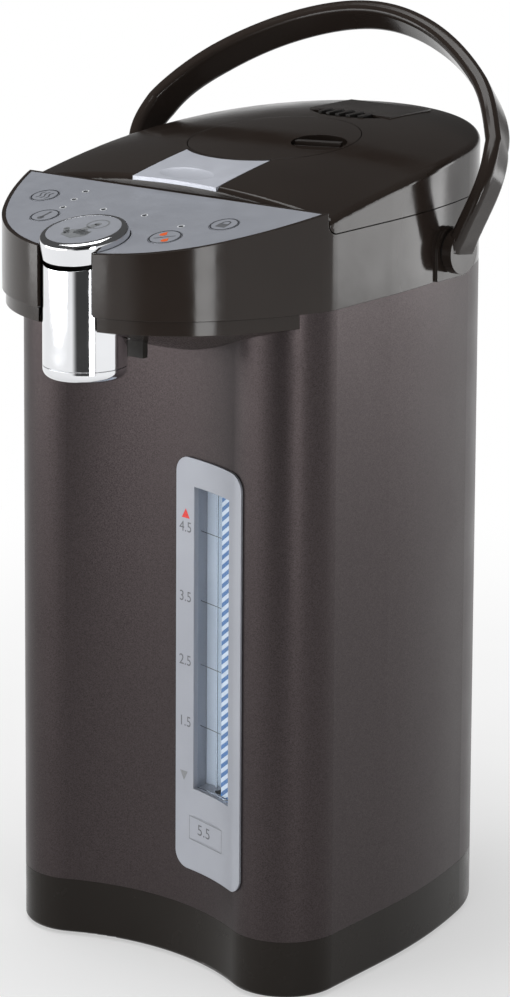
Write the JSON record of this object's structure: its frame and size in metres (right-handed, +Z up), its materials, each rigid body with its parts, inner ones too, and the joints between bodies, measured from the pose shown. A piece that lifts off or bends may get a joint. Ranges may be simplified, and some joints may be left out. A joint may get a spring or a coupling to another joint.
{
  "type": "electric thermo pot",
  "caption": "Hot-water pot with a jutting head over a hollow front, chrome spout with press cap, key panel, hinged lid with hand pump, level gauge and bail handle.",
  "frame": {"origin": "centre of the whole pot's box in plan, on the table under the feet", "axes": "+Z up, -Y towards the user and the spout, +X to the user's right, the gauge's side"},
  "size_m": [0.2558, 0.3091, 0.515],
  "materials": {
    "brown_gloss": "gloss",
    "casing_paint": "metallic satin",
    "silver_satin": "satin",
    "chrome": "polished",
    "steel": "brushed",
    "dark_matte": "matte",
    "rubber": "matte",
    "clear": "clear",
    "gauge_strip": "matte",
    "board": "matte",
    "key_plastic": "satin"
  },
  "bodies": {
    "pot_body": {"base_housing": "brown_gloss", "bottom_cover": "dark_matte", "rubber_feet": "rubber", "cover_screws": "steel", "power_inlet": "dark_matte", "inlet_pins": "steel", "inner_pot": "steel", "band_heater": "steel", "disc_heater": "steel", "thermostat": "dark_matte", "pot_stand": "dark_matte", "outer_casing": "casing_paint", "gauge_frame": "silver_satin", "gauge_backing": "gauge_strip", "gauge_window": "clear", "level_tube": "clear", "motor_cradle": "dark_matte", "pump_motor": "steel", "pump_housing": "dark_matte", "impeller_axle": "steel", "suction_hose": "rubber", "outlet_hose": "rubber", "riser_hose": "rubber", "spout_shell": "chrome", "spout_ring": "chrome", "spout_nozzle": "dark_matte", "button_seat": "dark_matte", "button_spring": "steel", "head_collar": "brown_gloss", "nose_lower_cover": "brown_gloss", "lever_pin": "steel", "control_panel": "silver_satin", "control_board": "board", "board_spacers": "dark_matte", "power_board": "board", "power_board_spacers": "dark_matte", "transformer": "steel", "hinge_bracket": "dark_matte", "hinge_pin": "steel", "handle_washers": "dark_matte", "handle_pins": "steel"},
    "lid": {"lid_cover": "brown_gloss", "steam_vent": "dark_matte", "lid_liner": "dark_matte", "lid_gasket": "rubber", "latch_pin": "steel", "latch_spring": "steel", "bellows": "rubber"},
    "latch_button": {"latch_button": "chrome"},
    "pump_plate": {"pump_plate": "brown_gloss"},
    "lock_knob": {"lock_knob": "brown_gloss"},
    "spout_button": {"spout_button": "chrome", "button_inlay": "silver_satin"},
    "cup_lever": {"cup_lever": "dark_matte"},
    "handle": {"handle": "brown_gloss"},
    "pump_impeller": {"pump_impeller": "dark_matte"},
    "boil_key": {"boil_key": "key_plastic"},
    "warm_key": {"warm_key": "key_plastic"},
    "dispense_key": {"dispense_key": "key_plastic"},
    "lock_key": {"lock_key": "key_plastic"}
  },
  "joints": [
    {"name": "lid_hinge", "type": "hinge", "parent": "pot_body", "child": "lid", "pos_m": [0, 0.1493, 0.4189], "axis": [-1, 0, 0], "range_deg": [0, 18]},
    {"name": "latch_press", "type": "hinge", "parent": "lid", "child": "latch_button", "pos_m": [0, -0.0477, 0.429], "axis": [-1, 0, 0], "range_deg": [0, 4], "stiffness_Nm_per_rad": 0.3, "springref_deg": -2.86, "deforming": ["latch_spring"]},
    {"name": "pump_stroke", "type": "slide", "parent": "lid", "child": "pump_plate", "axis": [0, 0, -1], "range_m": [0, 0.014], "stiffness_N_per_m": 600, "springref_m": -0.004, "deforming": ["bellows"]},
    {"name": "lock_turn", "type": "hinge", "parent": "pump_plate", "child": "lock_knob", "pos_m": [0.0312, 0.0304, 0.445], "axis": [0, 0, 1], "range_deg": [0, 90]},
    {"name": "dispense_press", "type": "slide", "parent": "pot_body", "child": "spout_button", "axis": [0, 0.2062, -0.9785], "range_m": [0, 0.002], "stiffness_N_per_m": 800, "springref_m": -0.002, "deforming": ["button_spring"]},
    {"name": "cup_lever_swing", "type": "hinge", "parent": "pot_body", "child": "cup_lever", "pos_m": [0, -0.0957, 0.371], "axis": [1, 0, 0], "range_deg": [0, 12], "stiffness_Nm_per_rad": 0.02, "springref_deg": -5.73},
    {"name": "handle_swing", "type": "hinge", "parent": "pot_body", "child": "handle", "pos_m": [0, 0.0553, 0.3925], "axis": [-1, 0, 0], "range_deg": [-78, 60]},
    {"name": "impeller_spin", "type": "hinge", "parent": "pot_body", "child": "pump_impeller", "pos_m": [0.039, -0.0077, 0.052], "axis": [0, 0, 1], "continuous": true},
    {"name": "boil_key_press", "type": "slide", "parent": "pot_body", "child": "boil_key", "axis": [0, 0.2062, -0.9785], "range_m": [0, 0.0004], "stiffness_N_per_m": 500, "springref_m": -0.0006},
    {"name": "warm_key_press", "type": "slide", "parent": "pot_body", "child": "warm_key", "axis": [0, 0.2062, -0.9785], "range_m": [0, 0.0004], "stiffness_N_per_m": 500, "springref_m": -0.0006},
    {"name": "dispense_key_press", "type": "slide", "parent": "pot_body", "child": "dispense_key", "axis": [0, 0.2062, -0.9785], "range_m": [0, 0.0004], "stiffness_N_per_m": 500, "springref_m": -0.0006},
    {"name": "lock_key_press", "type": "slide", "parent": "pot_body", "child": "lock_key", "axis": [0, 0.2062, -0.9785], "range_m": [0, 0.0004], "stiffness_N_per_m": 500, "springref_m": -0.0006}
  ]
}
